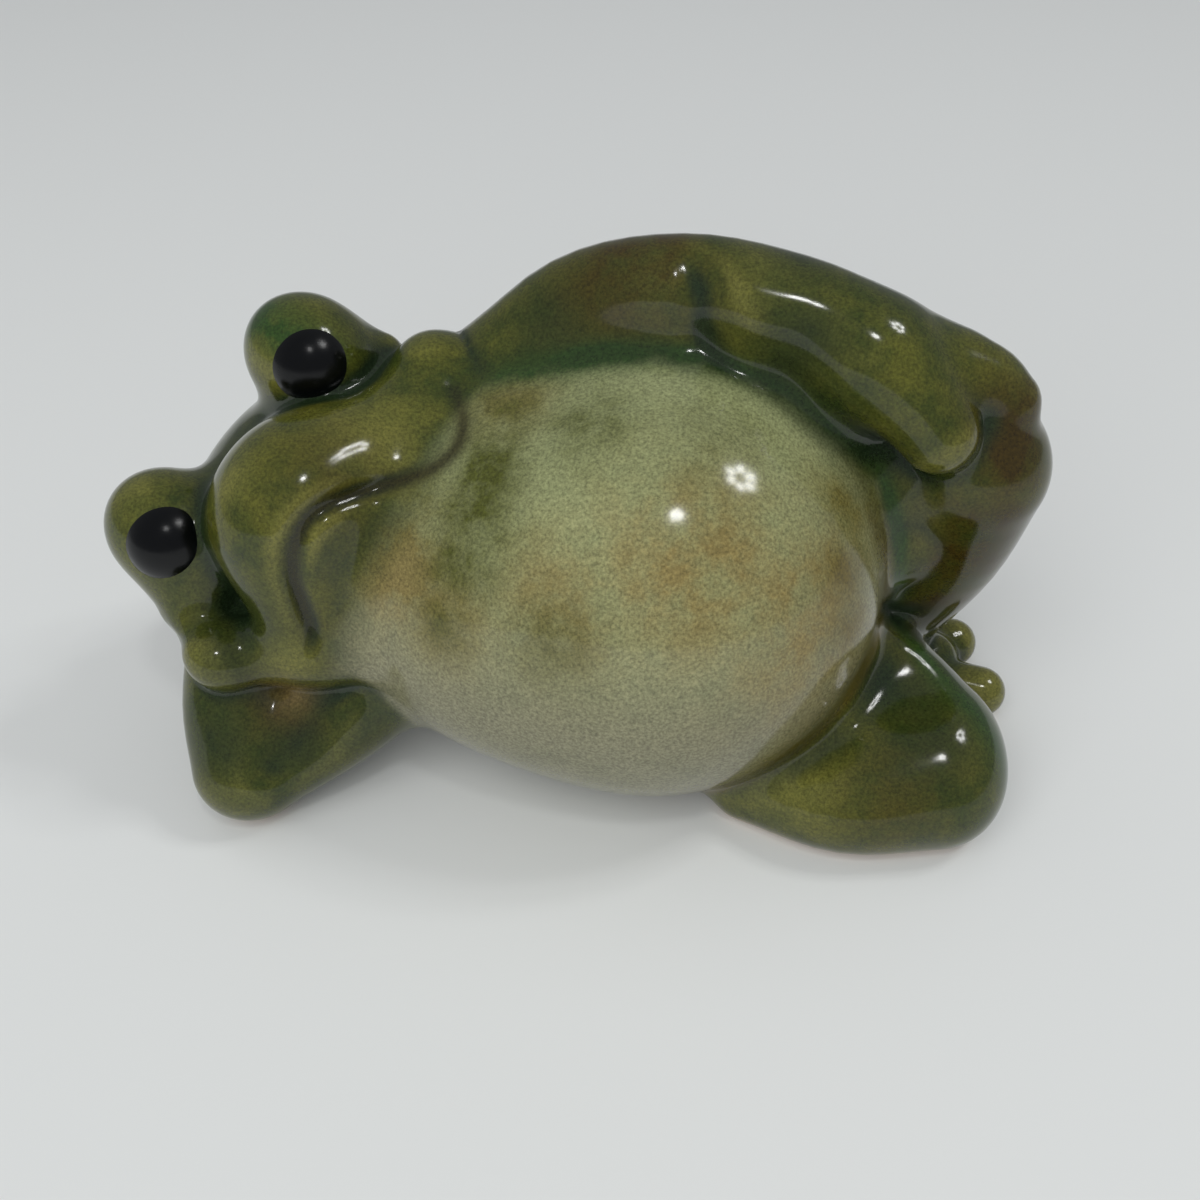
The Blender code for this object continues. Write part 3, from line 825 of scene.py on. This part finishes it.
@dataclass(frozen=True)
class GreenGlaze:
    """Transparent copper and iron glaze, brushed on a pale stoneware body and fired to a full gloss.

    It is nearly black-green where it pools, mid green where it is even, olive over the ridges, brown
    where iron wash was brushed under it, and almost clear over the pale belly.
    """

    name: str = "fired_green_glaze"
    even: str = "#2b3612"
    even_light: str = "#51521d"
    thin: str = "#66652e"
    pooled: str = "#1b2716"
    # Thicker glaze and painted shade in creases and recesses.
    deep: str = "#242e17"
    edge: str = "#2a4019"
    iron: str = "#34290b"
    pale: str = "#8b9168"
    # Painted shade: the pale belly turns greyer and darker towards the table.
    pale_painted_shade: str = "#7b795f"
    bare: str = "#75623a"
    pale_warm: str = "#7d7044"
    pale_cloud: str = "#464a1b"
    # Olive glaze with painted shade beside the legs.
    pale_olive_and_shade: str = "#5c5019"
    mouth: str = "#29260e"
    clay: str = "#c3a78d"
    gloss: float = 0.13
    clay_roughness: float = 0.75
    cloud_size: float = 9.0
    speck_size: float = 0.5
    ripple_size: float = 4.5
    ripple_height: float = 0.08
    ripple_strength: float = 0.4
    refraction: float = 1.5

    def film(self, tree: bpy.types.NodeTree, name: str) -> bpy.types.NodeSocket:
        """Return the film of this name as a number."""
        return add(tree, "ShaderNodeAttribute", {"attribute_name": name}).outputs["Fac"]

    def mixed(self, tree: bpy.types.NodeTree, factor: bpy.types.NodeSocket, low: object,
              high: object) -> bpy.types.NodeSocket:
        """Lay one colour over another.

        Args:
            tree: The material's nodes.
            factor: How much of the upper colour covers the lower one.
            low: The lower colour, or the output that gives it.
            high: The upper colour, or the output that gives it.

        Returns:
            The mixed colour.
        """
        inputs = {MIX_FACTOR: factor, MIX_A: low, MIX_B: high}
        return add(tree, "ShaderNodeMix", {"data_type": "RGBA"}, inputs).outputs[MIX_RESULT]

    def broken(self, tree: bpy.types.NodeTree, film: bpy.types.NodeSocket,
               noise: bpy.types.NodeSocket, share: float) -> bpy.types.NodeSocket:
        """Let a film's edge and strength vary with a noise.

        Args:
            tree: The material's nodes.
            film: The even film.
            noise: The noise, from 0 to 1.
            share: How much of the film's strength the noise takes or adds.

        Returns:
            The uneven film.
        """
        swing = add(tree, "ShaderNodeMath", {"operation": "MULTIPLY_ADD"},
                    {0: noise, 1: share, 2: 1.0 - share / 2.0}).outputs[0]
        product = {"operation": "MULTIPLY", "use_clamp": True}
        return add(tree, "ShaderNodeMath", product, {0: film, 1: swing}).outputs[0]

    def build(self) -> bpy.types.Material:
        """Make the material."""
        material = bpy.data.materials.new(self.name)
        material.use_nodes = True
        tree = material.node_tree
        shader = tree.nodes["Principled BSDF"]
        place = add(tree, "ShaderNodeTexCoord").outputs["Object"]
        drift = add(tree, "ShaderNodeTexNoise", {}, {"Vector": place, "Detail": 5.0, "Roughness": 0.65,
                    "Scale": per_metre(self.cloud_size)}).outputs["Fac"]
        cloud = add(tree, "ShaderNodeMapRange", {"interpolation_type": "SMOOTHSTEP"},
                    {"Value": drift, "From Min": 0.30, "From Max": 0.70}).outputs[0]
        speck = add(tree, "ShaderNodeTexNoise", {}, {"Vector": place, "Detail": 2.0, "Roughness": 0.7,
                    "Scale": per_metre(self.speck_size)}).outputs["Fac"]
        green = self.mixed(tree, cloud, linear(self.even), linear(self.even_light))
        ridge = self.broken(tree, self.film(tree, "ridge"), cloud, 0.5)
        green = self.mixed(tree, ridge, green, linear(self.thin))
        # Thicker glaze, with painted shade in creases, recesses and under the head.
        deep = self.broken(tree, self.film(tree, "deep"), cloud, 0.8)
        green = self.mixed(tree, deep, green, linear(self.deep))
        iron = self.broken(tree, self.film(tree, "iron"), cloud, 1.2)
        green = self.mixed(tree, iron, green, linear(self.iron))
        # Painted shade: the pale belly turns greyer and darker towards the bottom.
        pale = self.mixed(tree, self.film(tree, "low"), linear(self.pale), linear(self.pale_painted_shade))
        pale = self.mixed(tree, self.broken(tree, self.film(tree, "warm"), cloud, 1.0), pale,
                          linear(self.pale_warm))
        pale = self.mixed(tree, self.broken(tree, self.film(tree, "cloud"), cloud, 1.0), pale,
                          linear(self.pale_cloud))
        # Olive glaze and painted shade by the legs.
        pale = self.mixed(tree, self.broken(tree, self.film(tree, "olive"), cloud, 0.6), pale,
                          linear(self.pale_olive_and_shade))
        colour = self.mixed(tree, self.broken(tree, self.film(tree, "belly"), cloud, 0.3), green, pale)
        colour = self.mixed(tree, self.broken(tree, self.film(tree, "edge"), cloud, 0.8), colour,
                            linear(self.edge))
        colour = self.mixed(tree, self.film(tree, "pool"), colour, linear(self.pooled))
        colour = self.mixed(tree, self.film(tree, "mouth"), colour, linear(self.mouth))
        colour = self.mixed(tree, self.film(tree, "bare"), colour, linear(self.bare))
        grain = add(tree, "ShaderNodeMapRange", {}, {"Value": speck, "From Min": 0.3, "From Max": 0.7,
                    "To Min": 0.62, "To Max": 1.4}).outputs[0]
        shaded = add(tree, "ShaderNodeMix", {"data_type": "RGBA", "blend_type": "MULTIPLY"},
                     {MIX_FACTOR: 1.0, MIX_A: colour, MIX_B: grain}).outputs[MIX_RESULT]
        clay = self.film(tree, "clay")
        tree.links.new(self.mixed(tree, clay, shaded, linear(self.clay)), shader.inputs["Base Color"])
        rough = add(tree, "ShaderNodeMapRange", {}, {"Value": clay, "To Min": self.gloss,
                    "To Max": self.clay_roughness}).outputs[0]
        tree.links.new(rough, shader.inputs["Roughness"])
        shader.inputs["IOR"].default_value = self.refraction
        ripple = add(tree, "ShaderNodeTexNoise", {}, {"Vector": place, "Detail": 1.0,
                     "Scale": per_metre(self.ripple_size)}).outputs["Fac"]
        bump = add(tree, "ShaderNodeBump", {}, {"Height": ripple, "Strength": self.ripple_strength,
                   "Distance": self.ripple_height * MM})
        tree.links.new(bump.outputs["Normal"], shader.inputs["Normal"])
        return material


@dataclass(frozen=True)
class SatinBlackGlaze:
    """Thick black underglaze left satin, with a bluish cast where light grazes it."""

    name: str = "satin_black_underglaze"
    colour: str = "#020305"
    roughness: float = 0.22
    refraction: float = 1.4
    grain_size: float = 1.5

    def build(self) -> bpy.types.Material:
        """Make the material."""
        material = bpy.data.materials.new(self.name)
        material.use_nodes = True
        tree = material.node_tree
        shader = tree.nodes["Principled BSDF"]
        shader.inputs["Base Color"].default_value = linear(self.colour)
        shader.inputs["IOR"].default_value = self.refraction
        place = add(tree, "ShaderNodeTexCoord").outputs["Object"]
        grain = add(tree, "ShaderNodeTexNoise", {}, {"Vector": place, "Detail": 3.0,
                    "Scale": per_metre(self.grain_size)}).outputs["Fac"]
        rough = add(tree, "ShaderNodeMapRange", {}, {"Value": grain, "To Min": self.roughness - 0.06,
                    "To Max": self.roughness + 0.10}).outputs[0]
        tree.links.new(rough, shader.inputs["Roughness"])
        return material


# ---------------------------------------------------------------- pieces


@dataclass(frozen=True)
class Seat:
    """Where the figurine stands: the form's origin in the frame, and the form's scale.

    Attributes:
        along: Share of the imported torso's box, along x, at which the belly's middle lies.
        across: The same share along y.
        torso_length: Length of the torso in the form, in millimetres.
    """

    along: float = 0.510
    across: float = 0.428
    torso_length: float = 111.1

    def place(self, points: np.ndarray) -> np.ndarray:
        """Return points of the form in metres in the frame."""
        low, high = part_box(Casting.TORSO.value)
        size = high - low
        origin = np.array([low.x + size.x * self.along, low.y + size.y * self.across, low.z])
        scale = size.x / self.torso_length
        return origin + points * scale


@dataclass(frozen=True)
class GlazedCasting:
    """One casting's share of the glazed skin, closed by an inner side that lies a wall further in."""

    casting: Casting
    slot: str
    wall: float = 2.0

    def build(self, skin: Skin, films: dict[str, np.ndarray], seat: Seat,
              material: bpy.types.Material) -> bpy.types.Object:
        """Make the piece.

        Args:
            skin: The whole glazed surface.
            films: The glaze's films on the surface.
            seat: Where the form stands in the frame.
            material: The glaze.

        Returns:
            The finished object.
        """
        chosen = skin.quads[skin.owners == list(Casting).index(self.casting)]
        used, local = np.unique(chosen, return_inverse=True)
        outer = local.reshape(chosen.shape)
        count = len(used)
        inner = outer[:, ::-1] + count
        edges = np.stack([outer, np.roll(outer, -1, 1)], -1).reshape(-1, 2)
        keys = edges[:, 0] * count + edges[:, 1]
        reverse = edges[:, 1] * count + edges[:, 0]
        rim = edges[~np.isin(keys, reverse)]
        walls = np.stack([rim[:, 1], rim[:, 0], rim[:, 0] + count, rim[:, 1] + count], 1)
        points = np.vstack([skin.points[used], skin.points[used] - self.wall * skin.normals[used]])
        faces = np.vstack([outer, inner, walls])
        name = "glazed_" + self.casting.value
        mesh = bpy.data.meshes.new(name)
        mesh.from_pydata(seat.place(points).tolist(), [], faces.tolist())
        for film, values in films.items():
            layer = mesh.attributes.new(film, "FLOAT", "POINT")
            layer.data.foreach_set("value", np.tile(values[used], 2).astype(np.float32))
        mesh.shade_smooth()
        corner_normals = np.zeros((faces.size, 3))
        corner_normals[:outer.size] = skin.normals[used][outer.ravel()]
        corner_normals[outer.size:outer.size * 2] = -skin.normals[used][outer[:, ::-1].ravel()]
        mesh.normals_split_custom_set(corner_normals.tolist())
        mesh.materials.append(material)
        piece = bpy.data.objects.new(name, mesh)
        bpy.context.scene.collection.objects.link(piece)
        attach(piece, "root")
        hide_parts(self.casting.value)
        return piece


@dataclass(frozen=True)
class EyeDome:
    """A built-up dome of black glaze on an eye mound.

    Attributes:
        node: The eye's node.
        side: The dome's middle along the head's own axes, towards the frog's left.
        crown: The same, towards the crown.
        radius: The dome's radius.
        face: The middle's place towards the face.
        rings: Number of bands from pole to pole.
        segments: Number of faces round each band.
    """

    node: str
    side: float
    crown: float
    radius: float
    face: float = 3.6
    rings: int = 40
    segments: int = 96

    def build(self, seat: Seat, material: bpy.types.Material) -> bpy.types.Object:
        """Make the dome as a closed ball that is sunk in the mound.

        Args:
            seat: Where the form stands in the frame.
            material: The black glaze.

        Returns:
            The finished object.
        """
        centre = np.asarray(HEAD.at(self.side, self.crown, self.face))
        tilt = np.linspace(0.0, math.pi, self.rings + 1)[1:-1]
        around = np.linspace(0.0, 2.0 * math.pi, self.segments, endpoint=False)
        ring = np.stack([np.outer(np.sin(tilt), np.cos(around)), np.outer(np.sin(tilt), np.sin(around)),
                         np.outer(np.cos(tilt), np.ones_like(around))], -1).reshape(-1, 3)
        ball = np.vstack([ring, [[0.0, 0.0, 1.0], [0.0, 0.0, -1.0]]]) * self.radius
        rows = np.arange(len(ring)).reshape(len(tilt), self.segments)
        after = np.roll(rows, -1, 1)
        faces = np.stack([rows[:-1], rows[1:], after[1:], after[:-1]], -1).reshape(-1, 4).tolist()
        top, bottom = len(ring), len(ring) + 1
        faces += [(top, a, b) for a, b in zip(rows[0].tolist(), after[0].tolist())]
        faces += [(bottom, b, a) for a, b in zip(rows[-1].tolist(), after[-1].tolist())]
        points = centre + ball @ HEAD.turn().T
        name = "glazed_" + self.node
        mesh = bpy.data.meshes.new(name)
        mesh.from_pydata(seat.place(points).tolist(), [], faces)
        mesh.shade_smooth()
        mesh.materials.append(material)
        piece = bpy.data.objects.new(name, mesh)
        bpy.context.scene.collection.objects.link(piece)
        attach(piece, "root")
        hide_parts(self.node)
        return piece


# ---------------------------------------------------------------- studio


@dataclass(frozen=True)
class Lamp:
    """A ceiling lamp of several bulbs in a ring, seen from the figurine in one direction.

    Attributes:
        direction: Direction from the figurine to the lamp.
        distance: Distance to the lamp in metres.
        ring: Radius of the ring of bulbs in metres.
        bulbs: Number of bulbs.
        bulb: Width of a bulb in metres.
        watts: Power of all bulbs together.
    """

    direction: Triple
    distance: float
    ring: float
    bulbs: int
    bulb: float
    watts: float

    def build(self, target: Vector, number: int) -> None:
        """Hang the lamp's bulbs, all turned to the target.

        Args:
            target: What the lamp shines on.
            number: The lamp's number, for its name.
        """
        toward = Vector(self.direction).normalized()
        turn = toward.to_track_quat("Z", "Y")
        for index in range(self.bulbs):
            angle = 2.0 * math.pi * index / self.bulbs
            offset = turn @ Vector((math.cos(angle), math.sin(angle), 0.0)) * self.ring
            data = bpy.data.lights.new(f"lamp_{number}_{index}", "AREA")
            data.shape = "DISK"
            data.size = self.bulb
            data.energy = self.watts / self.bulbs
            light = bpy.data.objects.new(data.name, data)
            light.location = target + toward * self.distance + offset
            light.rotation_euler = turn.to_euler()
            bpy.context.scene.collection.objects.link(light)


@dataclass(frozen=True)
class Studio:
    """Pale table, soft room light, two lamps and the camera.

    Attributes:
        elevation: The camera's height above the table, in degrees.
        view_angle: The camera's angle of view, in degrees.
        distance: The camera's distance from its target, in millimetres.
        target: What the camera looks at, in the form's own millimetres.
        table: Colour of the table top.
        room: Colour of the room's even light.
        table_size: Width of the table in metres.
        sheets: Place and power of each soft light, in metres and watts.
        sheet_size: Width of a soft light in metres.
        lamps: The lamps that show as highlights in the glaze.
    """

    elevation: float = 40.0
    view_angle: float = 50.0
    distance: float = 221.0
    target: Triple = (-9.0, -3.0, 34.0)
    table: str = "#dfe1e0"
    room: str = "#86888a"
    table_size: float = 4.0
    sheets: tuple[tuple[Triple, float], ...] = (((-0.3, 0.0, 1.6), 4.0), ((-0.5, -1.4, 1.3), 29.0))
    sheet_size: float = 2.0
    lamps: tuple[Lamp, ...] = (
        Lamp((0.58, 0.06, 0.81), 2.0, 0.17, 6, 0.13, 7.0),
        Lamp((0.16, -0.42, 0.90), 2.6, 0.08, 5, 0.07, 5.0),
    )

    def build(self, seat: Seat) -> None:
        """Set up the table, the light and the camera.

        Args:
            seat: Where the form stands in the frame.
        """
        self.build_table()
        self.build_room()
        target = Vector(seat.place(np.array([self.target]))[0])
        for number, lamp in enumerate(self.lamps):
            lamp.build(target, number)
        data = bpy.data.cameras.new("camera")
        data.angle = math.radians(self.view_angle)
        data.clip_start = 0.01
        camera = bpy.data.objects.new("camera", data)
        tilt = math.radians(self.elevation)
        away = Vector((0.0, -math.cos(tilt), math.sin(tilt)))
        camera.location = target + away * self.distance * MM
        camera.rotation_euler = away.to_track_quat("Z", "Y").to_euler()
        bpy.context.scene.collection.objects.link(camera)
        bpy.context.scene.camera = camera

    def build_table(self) -> None:
        """Lay the table."""
        half = self.table_size / 2.0
        mesh = bpy.data.meshes.new("table")
        corners = [(-half, -half, 0.0), (half, -half, 0.0), (half, half, 0.0), (-half, half, 0.0)]
        mesh.from_pydata(corners, [], [(0, 1, 2, 3)])
        # Pale paint with a soft sheen: it mirrors faintly and throws light up into the glaze.
        material = bpy.data.materials.new("painted_table_top")
        material.use_nodes = True
        shader = material.node_tree.nodes["Principled BSDF"]
        shader.inputs["Base Color"].default_value = linear(self.table)
        shader.inputs["Roughness"].default_value = 0.55
        mesh.materials.append(material)
        table = bpy.data.objects.new("table", mesh)
        bpy.context.scene.collection.objects.link(table)

    def build_room(self) -> None:
        """Light the room evenly."""
        world = bpy.data.worlds.new("room")
        world.use_nodes = True
        backdrop = world.node_tree.nodes["Background"]
        backdrop.inputs["Color"].default_value = linear(self.room)
        bpy.context.scene.world = world
        for number, (place, watts) in enumerate(self.sheets):
            data = bpy.data.lights.new(f"soft_light_{number}", "AREA")
            data.size = self.sheet_size
            data.energy = watts
            light = bpy.data.objects.new(data.name, data)
            light.location = place
            light.rotation_euler = Vector(place).to_track_quat("Z", "Y").to_euler()
            light.visible_glossy = False
            bpy.context.scene.collection.objects.link(light)


# ---------------------------------------------------------------- the figurine


SLOTS = {casting: "green_glaze" for casting in Casting} | {Casting.TORSO: "belly_glaze"}
EYES = (EyeDome("left_eye", 18.9, -0.7, 6.8), EyeDome("right_eye", -18.4, -1.2, 7.0))


def main() -> None:
    """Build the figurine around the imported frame."""
    logging.basicConfig(level=logging.INFO, format="%(name)s: %(message)s")
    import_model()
    bpy.context.scene.view_settings.view_transform = "Standard"
    seat = Seat()
    Studio().build(seat)
    figure = Figure()
    skin = Sculptor(figure).skin()
    LOG.info("skin has %d points and %d faces", len(skin.points), len(skin.quads))
    films = GlazeFilms(figure).all(skin)
    glaze = GreenGlaze().build()
    for casting in Casting:
        piece = GlazedCasting(casting, SLOTS[casting]).build(skin, films, seat, glaze)
        LOG.info("%s has %d faces", piece.name, len(piece.data.polygons))
    black = SatinBlackGlaze().build()
    for dome in EYES:
        piece = dome.build(seat, black)
        LOG.info("%s has %d faces", piece.name, len(piece.data.polygons))


if __name__ == "__main__":
    main()
